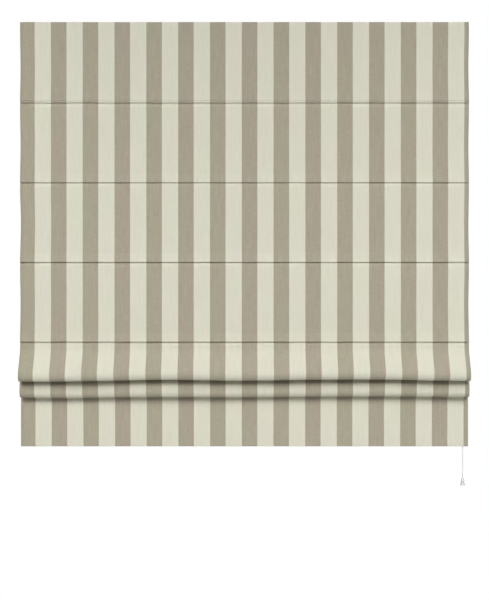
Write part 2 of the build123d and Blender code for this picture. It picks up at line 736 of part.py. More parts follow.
# Pull cord: from its knot in the connector down behind the skirt to its knot in the bell
pull_end_y = rail_y + pull_setback
bell_top = hem_bottom - pull_below_hem
pull_route = [
    Vector(lock_cord_place, rail_y, connector_bottom + connector_wall + fit_clearance + knot_radius),
    Vector(lock_cord_place, pull_end_y, hem_bottom),
    Vector(lock_cord_place, pull_end_y, bell_top - bell_roof - fit_clearance - knot_radius),
]
with BuildPart() as pull_cord:
    with BuildLine() as pull_path:
        FilletPolyline(*pull_route, radius=pull_bend_radius)
    with BuildSketch(Plane(pull_path.line @ 0, z_dir=pull_path.line % 0)):
        RegularPolygon(pull_cord_radius, cord_sides)
    sweep()
    for end in (pull_route[0], pull_route[-1]):
        with BuildSketch(Plane(end)):
            RegularPolygon(knot_radius, cord_sides)
        extrude(amount=knot_radius, both=True)
write(pull_cord, "pull_cord")
print("pull cord length", round(length_of(pull_path), 1), "bend radius", pull_bend_radius)

# Bell: a hollow turned pull, open below, with the cord's knot under its roof
bell_bottom = bell_top - bell_height
bell_middle = (lock_cord_place, pull_end_y)
bell_taper = degrees(atan2(bell_mouth_radius - bell_top_radius, bell_height))
with BuildPart() as pull_bell:
    with BuildSketch(Plane.XY.offset(bell_bottom)):
        with Locations(bell_middle):
            RegularPolygon(bell_mouth_radius, bell_sides)
    extrude(amount=bell_height, taper=bell_taper)
    with BuildSketch(Plane.XY.offset(bell_bottom)):
        with Locations(bell_middle):
            RegularPolygon(bell_mouth_radius - bell_wall, bell_sides)
    extrude(amount=bell_height - bell_roof, taper=bell_taper, mode=Mode.SUBTRACT)
    with BuildSketch(Plane.XY.offset(bell_bottom)):
        with Locations(bell_middle):
            RegularPolygon(pull_hole_radius, cord_sides)
    extrude(amount=bell_height, mode=Mode.SUBTRACT)
write(pull_bell, "pull_bell")
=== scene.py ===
# %% [markdown]
# # A striped roman blind
# The object is a blind of woven cotton, hung half raised. Its cloth carries rods in sewn pockets, so it
# lifts in flat panels and stacks in soft folds at the bottom. The hardware that lifts it (rail,
# rollers, cords and lock) sits behind the cloth and is already modelled as solids. This lesson loads
# those solids as a fixed frame, then gives every piece the look of its real material.

# %% Load the frame
import bpy
from math import acos, ceil, cos, exp, pi, radians, sin, tan
from mathutils import Matrix, Vector, noise


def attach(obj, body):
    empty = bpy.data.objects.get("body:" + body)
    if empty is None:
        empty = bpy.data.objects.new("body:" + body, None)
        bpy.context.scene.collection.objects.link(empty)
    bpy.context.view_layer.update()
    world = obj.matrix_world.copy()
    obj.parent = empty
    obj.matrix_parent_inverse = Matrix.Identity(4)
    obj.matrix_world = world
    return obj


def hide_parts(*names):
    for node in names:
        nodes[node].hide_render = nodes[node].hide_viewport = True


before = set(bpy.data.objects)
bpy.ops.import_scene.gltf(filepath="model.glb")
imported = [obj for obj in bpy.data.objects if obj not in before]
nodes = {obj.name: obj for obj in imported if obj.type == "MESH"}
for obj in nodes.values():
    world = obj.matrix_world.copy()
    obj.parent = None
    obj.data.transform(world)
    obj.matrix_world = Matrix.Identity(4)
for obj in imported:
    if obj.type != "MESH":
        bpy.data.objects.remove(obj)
scene = bpy.context.scene
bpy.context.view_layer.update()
MM = 0.001

# %% [markdown]
# ## The camera
# The photograph was taken square on, from about the height of the blind's middle and from far away,
# because the folds near the camera look hardly larger than the flat cloth behind them. The widths of
# the folds and of the skirt give the distance: 5.5 m. A long lens at that distance keeps the stripes
# upright.

# %% Camera
camera_distance, camera_height = 5.5502, -0.7848
lens = bpy.data.cameras.new("photo_lens")
lens.sensor_fit = "VERTICAL"
lens.sensor_height = 36.0
lens.lens = 113.93
camera = bpy.data.objects.new("photo_camera", lens)
camera.location = (0, -camera_distance, camera_height)
camera.rotation_euler = (radians(90), 0, 0)
scene.collection.objects.link(camera)
scene.camera = camera
scene.view_settings.view_transform = "Standard"
print("camera", tuple(camera.location), "lens", lens.lens)

# %% [markdown]
# ## Small helpers for finishes
# Every finish below is a set of shader nodes. Written out in full, each node takes four or five lines,
# so a few helpers keep the lesson readable: they add a node and plug in its inputs, do arithmetic, mix
# two colours, stretch a range, draw a grain and raise a bump. Colours are written as the 0 to 255
# values of a paint chart and turned into linear light.

# %% Node helpers
def paint(red, green, blue):
    linear = []
    for value in (red, green, blue):
        share = value / 255
        linear.append(share / 12.92 if share <= 0.04045 else ((share + 0.055) / 1.055) ** 2.4)
    return (*linear, 1.0)


def put(tree, kind, inputs=None, **settings):
    made = tree.nodes.new(kind)
    for name, value in settings.items():
        setattr(made, name, value)
    for key, value in (inputs or {}).items():
        if isinstance(value, bpy.types.NodeSocket):
            tree.links.new(value, made.inputs[key])
        else:
            made.inputs[key].default_value = value
    return made


def sums(tree, operation, first, second=0.0, third=0.5):
    return put(tree, "ShaderNodeMath", {0: first, 1: second, 2: third}, operation=operation).outputs[0]


def mixed(tree, share, first, second, way="MIX"):
    inputs = {0: share, 6: first, 7: second}
    return put(tree, "ShaderNodeMix", inputs, data_type="RGBA", blend_type=way).outputs[2]


def ramped(tree, value, low, high, start, end):
    return put(tree, "ShaderNodeMapRange", {0: value, 1: low, 2: high, 3: start, 4: end}).outputs[0]


def grain(tree, where, stretch, detail):
    scaled = put(tree, "ShaderNodeVectorMath", {0: where, 1: stretch}, operation="MULTIPLY").outputs[0]
    inputs = {"Vector": scaled, "Scale": 1.0, "Detail": detail, "Roughness": 0.5}
    return put(tree, "ShaderNodeTexNoise", inputs).outputs[0]


def new_finish(name, **sockets):
    finish = bpy.data.materials.new(name)
    finish.use_nodes = True
    tree = finish.node_tree
    shader = tree.nodes["Principled BSDF"]
    for key, value in sockets.items():
        shader.inputs[key.replace("_", " ")].default_value = value
    return finish, tree, shader


def coloured(tree, shader, colour):
    tree.links.new(colour, shader.inputs["Base Color"])


def raised(tree, shader, height, distance, strength=1.0):
    bump = put(tree, "ShaderNodeBump", {"Height": height, "Distance": distance, "Strength": strength})
    tree.links.new(bump.outputs[0], shader.inputs["Normal"])


# %% [markdown]
# ## Studio: floor, world and lamps
# The photograph has a plain white ground and very soft light from above: the folds and the pressed
# seams are dark underneath, but nothing has a hard shadow, and the sides are a little brighter than the
# middle. So two large soft boxes stand high in front, each turned to its own side of the blind, and a
# dim pale world, brighter overhead, fills in the rest. A narrow spread, like a grid on the box, keeps
# their light off the floor. A third box behind the blind shows its hardware. Rays that the camera sees
# directly find pure white, while the light that reaches the cloth stays at a plain level. The floor
# keeps the shadow close to the blind.

# %% Floor and world
def seen_directly(tree):
    path = put(tree, "ShaderNodeLightPath")
    seen = sums(tree, "MAXIMUM", path.outputs["Is Camera Ray"], path.outputs["Is Glossy Ray"])
    return sums(tree, "MAXIMUM", seen, path.outputs["Is Transmission Ray"])


world = bpy.data.worlds.new("white_studio")
scene.world = world
world.use_nodes = True
sky = world.node_tree
sky.nodes.clear()
PURE_WHITE = (1, 1, 1, 1)
low_fill, overhead_fill = 0.12, 0.38
around = put(sky, "ShaderNodeTexCoord").outputs["Generated"]
height = put(sky, "ShaderNodeSeparateXYZ", {0: around}).outputs[2]
level = ramped(sky, height, -0.1, 0.6, low_fill, overhead_fill)
fill = put(sky, "ShaderNodeBackground", {"Color": PURE_WHITE, "Strength": level})
ground = put(sky, "ShaderNodeBackground", {"Color": PURE_WHITE, "Strength": 1.0})
either = put(sky, "ShaderNodeMixShader", {0: seen_directly(sky), 1: fill.outputs[0], 2: ground.outputs[0]})
put(sky, "ShaderNodeOutputWorld", {"Surface": either.outputs[0]})

floor_mesh = bpy.data.meshes.new("studio_floor")
floor_size, floor_forward, floor_height = 1.3, -0.4, -1.70
corners = [(x * floor_size, y * floor_size + floor_forward, floor_height)
           for x, y in [(-1, -1), (1, -1), (1, 1), (-1, 1)]]
floor_mesh.from_pydata(corners, [], [(0, 1, 2, 3)])
floor = bpy.data.objects.new("studio_floor", floor_mesh)
scene.collection.objects.link(floor)

pale, tree, shader = new_finish("pale_floor", Base_Color=paint(228, 228, 226), Roughness=0.9)
shadow_middle, shadow_inner, shadow_outer = (0, -0.7, floor_height), 0.8, 0.95
place = put(tree, "ShaderNodeNewGeometry").outputs["Position"]
apart = put(tree, "ShaderNodeVectorMath", {0: place, 1: shadow_middle}, operation="DISTANCE").outputs["Value"]
far = ramped(tree, apart, shadow_inner, shadow_outer, 0.0, 1.0)
white = put(tree, "ShaderNodeEmission", {"Color": PURE_WHITE, "Strength": 1.0})
bright = sums(tree, "MULTIPLY", far, seen_directly(tree))
both = put(tree, "ShaderNodeMixShader", {0: bright, 1: shader.outputs[0], 2: white.outputs[0]})
tree.links.new(both.outputs[0], tree.nodes["Material Output"].inputs["Surface"])
floor_mesh.materials.append(pale)
print("floor at", floor_height)

# %% Lamps
box_spread = 43


def soft_box(name, place, aim, width, height, watts):
    lamp = bpy.data.lights.new(name, "AREA")
    lamp.shape = "RECTANGLE"
    lamp.size, lamp.size_y, lamp.energy = width, height, watts
    lamp.spread = radians(box_spread)
    stand = bpy.data.objects.new(name, lamp)
    stand.location = place
    stand.rotation_euler = (Vector(aim) - Vector(place)).to_track_quat("-Z", "Y").to_euler()
    scene.collection.objects.link(stand)


for name, side in (("left_box", -1), ("right_box", 1)):
    soft_box(name, (2.3 * side, -4.0, 1.75), (1.2 * side, 0, -0.5), width=2.2, height=2.8, watts=18.4)
soft_box("back_box", (0.6, 4.0, 1.6), (0, 0, -0.6), width=2.6, height=2.0, watts=19)

# %% [markdown]
# ## The pull cord
# A braided cord leaves the break-away connector behind the cloth, hangs straight down by its own
# weight, passes behind the hem and ends in a knot inside the bell. A curve with a round bevel is the
# natural way to make it: three control points give the whole hang, and the smooth spline bends as a
# cord does. The bevel is one metre deep and every point's radius scales it down to the cord's own
# radius, so that the curve's box fits the cord. It comes early because a free cord decides how far the
# object reaches.

# %% Cord helper and pull cord
def corded(name, points, thickness, closed=False):
    line = bpy.data.curves.new(name, "CURVE")
    line.dimensions = "3D"
    line.bevel_depth = 1.0
    line.bevel_resolution = 3 if closed else 4
    line.use_fill_caps = not closed
    spline = line.splines.new("NURBS")
    spline.points.add(len(points) - 1)
    for point, spot in zip(spline.points, points):
        point.co = (*[size * MM for size in spot], 1)
        point.radius = thickness / 2 * MM
    spline.order_u = 3
    spline.use_cyclic_u = closed
    spline.use_endpoint_u = not closed
    spline.resolution_u = 12
    cord = bpy.data.objects.new(name, line)
    scene.collection.objects.link(cord)
    return cord


lock_x, rail_y, behind_hem_y, bell_y = 635.5, -26.0, -18.0, -19.1
connector_z, hem_bottom, bell_knot_z, bell_mouth_z = -87.9, -1210.6, -1309.7, -1324.0
pull_hang = [(rail_y, connector_z), (behind_hem_y, hem_bottom), (bell_y, bell_knot_z)]
pull_route = [(lock_x, y, z) for y, z in pull_hang]
pull_cord = corded("braided_pull_cord", pull_route, 2.2)
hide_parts("pull_cord")
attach(pull_cord, "blind")
print("pull cord of", len(pull_route), "control points")

# %% [markdown]
# ## The cloth's path
# Seen from the side, the cloth is one long line: up behind the heading, over its top, down four flat
# panels with a pressed seam and a rod pocket at the end of each, round an upper and a lower fold, and
# down the skirt to the hem, which turns up behind around a weight bar. It could be simulated, but a
# pressed and rodded blind hardly moves: its shape comes from where it is sewn. So the line is written
# down as corners with radii, with the sizes of the real pieces, and walked from end to end. Each panel
# ends in a small lip that stands one to three millimetres proud of the next one, because the sewn
# pocket pulls the cloth back: that lip draws the dark line of the seam. A shallow dent above the first
# one is the line along which the cloth was pressed.

# %% Corners of the path
sheet = 0.8
half_sheet = sheet / 2
heading_y, sheet_y, cloth_top = -48.8, -49.8, 20.5
heading_turn, first_panel, panel_height = 27.0, 234.0, 231.0
seams = [cloth_top - first_panel - panel_height * k for k in range(4)]
last_seam = seams[-1]
crease, neck_half, pocket_half = 1.2, 0.8, 2.7
rod_back, rod_reach, octagon = 10.2, 20.0, 0.414
flare = 26.0
lips = (1.2, 2.0, 3.0, 3.4)
lip_rises = (0, 0, 0.6, 1.0)
dent = [(7.4, 0, 4.0), (4.4, 0.4, 0.3), (3.6, 0, 0.3)]
route = []
marks = {}


def corner(y, z, radius, mark=None):
    if mark:
        marks[mark] = len(route)
    route.append((Vector((y, z)), radius))


def pocket(neck_y, neck_z, rod_y):
    rod = Vector((rod_y, neck_z + (rod_reach ** 2 - (rod_y - neck_y) ** 2) ** 0.5))
    up = (rod - Vector((neck_y, neck_z))).normalized()
    front = Vector((-up.y, up.x))
    for across, along in [(1, octagon), (octagon, 1), (-octagon, 1), (-1, octagon)]:
        spot = rod + front * across * pocket_half + up * along * pocket_half
        corner(spot.x, spot.y, 2.5)
    return rod


corner(heading_y, cloth_top - heading_turn, 0)
corner(heading_y, cloth_top - half_sheet, 0.45)
corner(sheet_y, cloth_top - half_sheet, 0.45, "top")
rods = []
for number, (seam, lip, lip_rise) in enumerate(zip(seams, lips, lip_rises), 1):
    neck_y = sheet_y + crease + neck_half
    corner(sheet_y, seam + flare, 60.0)
    if number == 1:
        for rise, depth, radius in dent:
            corner(sheet_y - lip * (1 - rise / flare) + depth, seam + rise, radius)
    corner(sheet_y - lip, seam + lip_rise, 1.2, f"seam_{number}")
    corner(sheet_y + crease, seam, crease / 2)
    rods.append(pocket(neck_y, seam, sheet_y + rod_back))
    corner(neck_y + neck_half, seam, 3.0, f"neck_{number}")
    corner(sheet_y, seam - 13.0, 15.0, f"panel_{number}")

upper_y, upper_back_y, upper_bottom = sheet_y - 54.0, sheet_y - 22.0, last_seam - 108.0
corner(sheet_y, last_seam - 26.0, 28.0)
corner(upper_y, last_seam - 82.0, 24.0)
corner(upper_y, upper_bottom, 16.0)
corner(upper_back_y, upper_bottom, 16.0)
hairpin = Vector((sheet_y + 7.8, last_seam - 42.4))
corner(hairpin.x - neck_half, hairpin.y, 6.0, "upper_end")
rods.append(pocket(hairpin.x, hairpin.y, sheet_y + rod_back))
corner(hairpin.x + neck_half, hairpin.y, 6.0, "lower_start")

lower_y, lower_back_y, lower_bottom = sheet_y - 15.0, sheet_y + 21.0, last_seam - 158.6
corner(sheet_y + 2.0, last_seam - 94.0, 22.0)
corner(lower_y, last_seam - 120.0, 22.0)
corner(lower_y, lower_bottom, 18.0)
corner(lower_back_y, lower_bottom, 18.0)
skirt_y = sheet_y + 23.6
hairpin = Vector((skirt_y - neck_half, last_seam - 78.8))
corner(hairpin.x - neck_half, hairpin.y, 6.0, "lower_end")
rods.append(pocket(hairpin.x, hairpin.y, hairpin.x))
corner(hairpin.x + neck_half, hairpin.y, 6.0, "skirt_start")

hem_step, hem_z = 5.2, last_seam - 304.1 + half_sheet
corner(skirt_y, hem_z, 1.2, "hem")
corner(skirt_y + hem_step, hem_z, 1.2)
corner(skirt_y + hem_step, hem_z + 28.0, 3.0)
corner(skirt_y + crease, hem_z + 32.0, 3.0)
corner(skirt_y + crease, hem_z + 38.0, 0)
print("path of", len(route), "corners, rods at", [(round(rod.x, 1), round(rod.y, 1)) for rod in rods])

# %% [markdown]
# ## Walking the path
# Each corner becomes an arc of short steps, and each straight run is divided so that the cloth can
# ripple. Tight creases get as many steps as wide folds: a crease of half a millimetre still has to look
# pressed, not broken. A curve could round the corners too, but the walk also measures how far along the
# cloth each point lies, which becomes the second coordinate of its weave.

# %% Walk
def walk(route, turn=radians(18), stride=14.0):
    stops, stations = [], {}
    for place, (spot, radius) in enumerate(route):
        if radius == 0:
            arc = [spot]
        else:
            back = (route[place - 1][0] - spot).normalized()
            ahead = (route[place + 1][0] - spot).normalized()
            bend = pi - acos(max(-1.0, min(1.0, back.dot(ahead))))
            middle = spot + (back + ahead).normalized() * (radius / cos(bend / 2))
            start = spot + back * radius * tan(bend / 2) - middle
            sense = 1 if back.x * ahead.y - back.y * ahead.x < 0 else -1
            steps = max(3, ceil(bend / turn))
            arc = [middle + Matrix.Rotation(sense * bend * k / steps, 2) @ start for k in range(steps + 1)]
        if stops:
            run = (arc[0] - stops[-1]).length
            last = stops[-1]
            pieces = max(1, ceil(run / stride))
            stops += [last.lerp(arc[0], k / pieces) for k in range(1, pieces)]
        stations[place] = len(stops) + len(arc) // 2
        stops += [p for p in arc if not stops or (p - stops[-1]).length > 0.02]
    return stops, stations


stops, stations = walk(route)
travel = [0.0]
for before, after in zip(stops, stops[1:]):
    travel.append(travel[-1] + (after - before).length)
reached = {mark: travel[min(stations[place], len(stops) - 1)] for mark, place in marks.items()}
print("cloth: %d steps, %.1f mm along the sheet" % (len(stops), travel[-1]))

# %% [markdown]
# ## The sheet
# The path swept across the width would give a dead straight blind. Real cloth pulls in a little at its
# sides between the rods, the flat panels ripple by about a millimetre, and the bottoms of the folds
# lift here and sag there, most of all at the left. Each of these moves fades to nothing at the seams,
# where a rod holds the cloth straight, so layers that lie against each other never cross. A Solidify
# modifier gives the sheet its real thickness.

# %% Sheet
cloth_half = 650.0
columns = 100


def meshed(name, points, faces, *finishes):
    mesh = bpy.data.meshes.new(name)
    mesh.from_pydata(points, [], faces)
    mesh.polygons.foreach_set("use_smooth", [True] * len(faces))
    for finish in finishes:
        mesh.materials.append(finish)
    piece = bpy.data.objects.new(name, mesh)
    scene.collection.objects.link(piece)
    return piece


def swell(station, start, end):
    share = (station - start) / (end - start)
    return sin(pi * share) ** 2 if 0 < share < 1 else 0.0


def ripple(x, seed, length):
    return noise.noise(Vector((x / length, seed, 0.37)))


def humps(x, shapes):
    return sum(size * exp(-((x - middle) / width) ** power) for size, middle, width, power in shapes)


# Size, middle and half width in mm, and how square each hump is
upper_humps = [(2.9, -230, 100, 2), (3.0, 315, 190, 4), (-3.9, -650, 250, 2), (-1.0, -20, 70, 2),
               (-1.5, 640, 110, 2)]
lower_humps = [(0.5, 320, 150, 4), (-2.4, -515, 100, 2), (-1.0, -30, 90, 2), (-2.4, 650, 100, 2)]
upper_drop, lower_slant, tug, left_tug = 1.6, 1.6, 1.4, 2.4
spans = [(reached["top"] + heading_turn, reached["seam_1"], 0)]
spans += [(reached[f"panel_{k}"], reached[f"seam_{k + 1}"], k) for k in range(1, 4)]
upper_span = (reached["seam_4"] + 50.0, reached["upper_end"])
lower_span = (reached["lower_start"], reached["lower_end"])
skirt_span = (reached["skirt_start"], reached["hem"])


def settled(x, stop, station):
    y, z = stop
    side = (abs(x) / cloth_half) ** 8
    for start, end, panel in spans:
        hold = swell(station, start, end)
        y += hold * 1.3 * ripple(x, 3.1 * panel, 240)
        x -= hold * side * (left_tug if panel == 2 and x < 0 else tug) * (1 if x > 0 else -1)
    hold = swell(station, *upper_span)
    y += hold * 3.0 * ripple(x, 21.7, 210)
    z += hold * (humps(x, upper_humps) - upper_drop + 0.4 * ripple(x, 5.2, 90))
    hold = swell(station, *lower_span)
    y += hold * 2.0 * ripple(x, 33.1, 230)
    z += hold * (humps(x, lower_humps) + lower_slant * x / cloth_half + 0.4 * ripple(x, 9.4, 120))
    hold = swell(station, *skirt_span)
    y += hold * 1.6 * ripple(x, 41.9, 260)
    return (x * MM, y * MM, z * MM)


grid_x = [-cloth_half + 2 * cloth_half * k / columns for k in range(columns + 1)]
points = [settled(x, stop, station) for stop, station in zip(stops, travel) for x in grid_x]
wide = columns + 1
faces = [
    (row * wide + k, (row + 1) * wide + k, (row + 1) * wide + k + 1, row * wide + k + 1)
    for row in range(len(stops) - 1) for k in range(columns)
]
cloth = meshed("striped_cloth", points, faces)
cloth_mesh = cloth.data
flat = cloth_mesh.uv_layers.new(name="flat")
for loop in cloth_mesh.loops:
    row, k = divmod(loop.vertex_index, wide)
    flat.data[loop.index].uv = (grid_x[k] * MM, travel[row] * MM)
thicken = cloth.modifiers.new("thickness", "SOLIDIFY")
thicken.thickness = sheet * MM
thicken.offset = 0
thicken.material_offset = 1
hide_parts("blind_cloth")
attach(cloth, "blind")
print("cloth mesh:", len(points), "points,", len(faces), "faces before thickening")

# %% [markdown]
# ## The cloth's finish
# The cloth is yarn-dyed cotton: stripes of cream and of a heathered taupe run down its length. The
# weave is drawn from the sheet's own flat coordinates, so that threads and stripes follow every fold.
# Three grains make it look woven: fine threads along the length, fine threads across, and slow slubs
# where the yarn thickens. The taupe mixes light and dark fibres, so its grain is stronger, and every
# other taupe stripe is a shade rosier. The back shows the same stripes a little paler, with the turned
# side hems and their stitches. The edge of each hem is a dark line of painted shade, where the hem
# steps onto the cloth.

# %% Cloth finish
stripe_period, taupe_width, taupe_start = 92.15 * MM, 45.0 * MM, -560.8 * MM
hem_edge, hem_line, hem_pitch, yarn_pitch = 0.6255, 0.6285, 0.0045, 0.0011


def woven(name, cream, taupe, hemmed):
    finish, tree, shader = new_finish(name, Roughness=0.86, Specular_IOR_Level=0.18, Sheen_Weight=0.12,
                                      Sheen_Roughness=0.6)
    where = put(tree, "ShaderNodeUVMap", uv_map="flat").outputs[0]
    parts = put(tree, "ShaderNodeSeparateXYZ", {0: where})
    across, along = parts.outputs[0], parts.outputs[1]
    warp = grain(tree, where, (1500, 40, 1), 1.0)
    weft = grain(tree, where, (45, 1500, 1), 1.0)
    slub = grain(tree, where, (260, 14, 1), 2.0)
    cloud = grain(tree, where, (9, 5, 1), 2.0)
    jitter = sums(tree, "MULTIPLY", sums(tree, "SUBTRACT", weft, 0.5), 0.0012)
    from_start = sums(tree, "SUBTRACT", sums(tree, "ADD", across, jitter), taupe_start)
    turn = sums(tree, "DIVIDE", from_start, stripe_period)
    stripe = sums(tree, "LESS_THAN", sums(tree, "FRACT", turn), taupe_width / stripe_period)
    yarn = sums(tree, "ADD", sums(tree, "MULTIPLY", warp, 0.5), sums(tree, "MULTIPLY", slub, 0.5))
    heather = sums(tree, "ADD", sums(tree, "MULTIPLY", weft, 0.45), sums(tree, "MULTIPLY", slub, 0.3))
    heather = sums(tree, "ADD", heather, sums(tree, "MULTIPLY", warp, 0.25))
    cream_colour = mixed(tree, ramped(tree, yarn, 0.3, 0.7, 0.0, 1.0), *[paint(*c) for c in cream])
    taupe_colour = mixed(tree, ramped(tree, heather, 0.3, 0.7, 0.0, 1.0), *[paint(*c) for c in taupe])
    other = sums(tree, "LESS_THAN", sums(tree, "FRACT", sums(tree, "DIVIDE", turn, 2.0)), 0.5)
    shade = mixed(tree, other, paint(254, 255, 252), paint(255, 253, 254))
    taupe_colour = mixed(tree, 1.0, taupe_colour, shade, "MULTIPLY")
    warm = mixed(tree, ramped(tree, cloud, 0.35, 0.65, 0.0, 1.0), paint(255, 253, 252), paint(253, 255, 251))
    colour = mixed(tree, 1.0, mixed(tree, stripe, cream_colour, taupe_colour), warm, "MULTIPLY")
    if hemmed:
        edge = sums(tree, "ABSOLUTE", across)
        # Painted shade: a dark line along the edge of each turned side hem, where the hem steps onto the
        # cloth
        hem_edge_shade = sums(tree, "COMPARE", edge, hem_edge, 0.0005)
        line = sums(tree, "COMPARE", edge, hem_line, 0.0004)
        dash = sums(tree, "LESS_THAN", sums(tree, "FRACT", sums(tree, "DIVIDE", along, hem_pitch)), 0.7)
        colour = mixed(tree, sums(tree, "MULTIPLY", hem_edge_shade, 0.35), colour, paint(120, 115, 102))
        colour = mixed(tree, sums(tree, "MULTIPLY", line, dash), colour, paint(226, 223, 208))
    coloured(tree, shader, colour)
    thread = 2 * pi / yarn_pitch
    over = sums(tree, "MULTIPLY", sums(tree, "SINE", sums(tree, "MULTIPLY", across, thread)),
                sums(tree, "SINE", sums(tree, "MULTIPLY", along, thread)))
    height = sums(tree, "ADD", sums(tree, "MULTIPLY", over, 0.4), sums(tree, "ADD", warp, weft))
    raised(tree, shader, height, 0.00012, 0.6)
    return finish


cream_yarns = [(213, 211, 195), (223, 221, 206)]
taupe_yarns = [(157, 150, 133), (181, 174, 157)]
cloth_mesh.materials.append(woven("striped_cotton", cream_yarns, taupe_yarns, False))
pale_cream = [(217, 215, 200), (227, 225, 211)]
pale_taupe = [(172, 165, 149), (194, 188, 172)]
cloth_mesh.materials.append(woven("striped_cotton_back", pale_cream, pale_taupe, True))
print("stripes: %.1f mm taupe in %.1f mm" % (taupe_width / MM, stripe_period / MM))

# %% [markdown]
# ## Sewing
# The pockets, the heading and the hem are sewn with a straight stitch that shows on the back of the
# cloth. A texture would look flat close by, so every stitch is a small bent thread: a ridge that rises
# from the cloth and dips back into it. A row is placed by how far along the sheet it lies, so it sits
# on the cloth wherever that has folded to. All stitches of the blind go into one mesh.

# %% Stitches
def on_the_back(station, climbing):
    row = next(k for k, reach in enumerate(travel) if reach >= station)
    before, after = stops[row - 1], stops[row]
    spot = before.lerp(after, (station - travel[row - 1]) / (travel[row] - travel[row - 1]))
    way = (after - before).normalized() * (1 if climbing else -1)
    out = Vector((0, way.y, -way.x))
    return Vector((0, *spot)) + out * half_sheet, out


ridge = [(0, -0.1), (0.25, 0.22), (0.75, 0.22), (1, -0.1)]
row_margin, thread_sides = 10, 5


def stitch_row(points, faces, station, climbing, pitch=4.6, length=3.4, thick=0.22):
    spot, out = on_the_back(station, climbing)
    for number in range(int(2 * (cloth_half - row_margin) / pitch)):
        x = -cloth_half + row_margin + number * pitch
        first = len(points)
        for share, rise in ridge:
            middle = Vector((x + share * length, 0, 0)) + spot + out * rise
            for turn in range(thread_sides):
                angle = 2 * pi * turn / thread_sides
                edge = middle + Vector((0, cos(angle) * thick, sin(angle) * thick))
                points.append(tuple(edge * MM))
        for ring in range(len(ridge) - 1):
            for turn in range(thread_sides):
                a = first + ring * thread_sides + turn
                b = first + ring * thread_sides + (turn + 1) % thread_sides
                faces.append((a, b, b + thread_sides, a + thread_sides))


points, faces = [], []
from_neck, from_edge = 4.0, 3.0
for mark in ("neck_1", "neck_2", "neck_3", "neck_4", "skirt_start"):
    stitch_row(points, faces, reached[mark] - from_neck, False)
stitch_row(points, faces, travel[-1] - from_edge, True)
stitch_row(points, faces, from_edge, True)
cotton, tree, shader = new_finish("cotton_thread", Roughness=0.8, Sheen_Weight=0.2)
twist = put(tree, "ShaderNodeTexCoord").outputs["Object"]
strand = grain(tree, twist, (2600, 2600, 2600), 1.0)
coloured(tree, shader, mixed(tree, strand, paint(205, 202, 186), paint(232, 229, 215)))
raised(tree, shader, strand, 0.0001)
stitches = meshed("sewing_stitches", points, faces, cotton)
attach(stitches, "blind")
print("stitches:", len(points) // (len(ridge) * thread_sides))

# %% [markdown]
# ## Plastics and metals
# The hardware has plain finishes: white satin paint on the rail, zinc-plated steel, bare aluminium,
# brass, white moulded plastic, slippery plastic, glass fibre and milky translucent plastic. None is one
# flat colour on the real thing. The rail has faint lines along its length from the press, zinc has a
# fine brushed grain and cloudy tone, and moulded plastic has a very fine spark-eroded texture. Each
# finish takes its grain from the object's own coordinates.

# %% Hardware finishes
def textured(name, dark, light, stretch, depth, rough, **sockets):
    finish, tree, shader = new_finish(name, **sockets)
    where = put(tree, "ShaderNodeTexCoord").outputs["Object"]
    fine = grain(tree, where, stretch, 3.0)
    tone = grain(tree, where, tuple(s * 0.08 for s in stretch), 2.0)
    coloured(tree, shader, mixed(tree, ramped(tree, tone, 0.3, 0.7, 0, 1), paint(*dark), paint(*light)))
    tree.links.new(ramped(tree, fine, 0.3, 0.7, *rough), shader.inputs["Roughness"])
    raised(tree, shader, fine, depth, 0.5)
    return finish


# Darker and lighter tone, grain along X, Y and Z, its depth in metres, and the range of roughness
rail_paint = textured("satin_white_paint", (226, 226, 222), (236, 236, 233),
                      (12, 1800, 1800), 0.00004, (0.32, 0.42))
zinc = textured("zinc_steel", (150, 152, 154), (184, 186, 188),
                (160, 2400, 160), 0.00003, (0.28, 0.45), Metallic=1.0)
plain_bar = textured("plain_aluminium", (176, 177, 179), (198, 199, 200),
                     (8, 1500, 1500), 0.00003, (0.3, 0.45), Metallic=1.0)
brass = textured("turned_brass", (176, 138, 72), (205, 168, 98),
                 (900, 900, 900), 0.00003, (0.25, 0.4), Metallic=1.0)
moulded = textured("white_moulding", (224, 224, 218), (234, 234, 229),
                   (1500, 1500, 1500), 0.00003, (0.45, 0.6))
slick = textured("smooth_white_plastic", (226, 226, 221), (236, 236, 232),
                 (700, 700, 700), 0.00001, (0.22, 0.32))
glass_rod = textured("drawn_glass_fibre", (214, 211, 192), (230, 228, 212),
                     (20, 3200, 3200), 0.00004, (0.4, 0.55))
milky = textured("milky_plastic", (232, 232, 229), (243, 243, 241),
                 (600, 600, 600), 0.00001, (0.34, 0.44), Transmission_Weight=0.35, IOR=1.46)
print("hardware finishes:", rail_paint.name, zinc.name, brass.name, moulded.name, milky.name)

# %% [markdown]
# ## Braided cord
# The cords are braided polyester: sixteen strands wound both ways, which leaves a pattern of small
# diamonds. Two sets of slanted lines that cross give that pattern. A cord is too thin for separate
# strands to be worth their triangles, so colour and bump carry the braid. The bump raises the strands,
# and the colour is painted shade in the grooves between them and painted light on their crowns.

# %% Cord finish
braid, tree, shader = new_finish("braided_polyester", Roughness=0.62, Sheen_Weight=0.15)
spot = put(tree, "ShaderNodeSeparateXYZ", {0: put(tree, "ShaderNodeTexCoord").outputs["Object"]})
lean = sums(tree, "ADD", spot.outputs[0], spot.outputs[1])
rise = sums(tree, "MULTIPLY", spot.outputs[2], 2600)
swerve = sums(tree, "MULTIPLY", lean, 3600)
one_way = sums(tree, "SINE", sums(tree, "ADD", rise, swerve))
other_way = sums(tree, "SINE", sums(tree, "SUBTRACT", rise, swerve))
plait = sums(tree, "MULTIPLY", one_way, other_way)
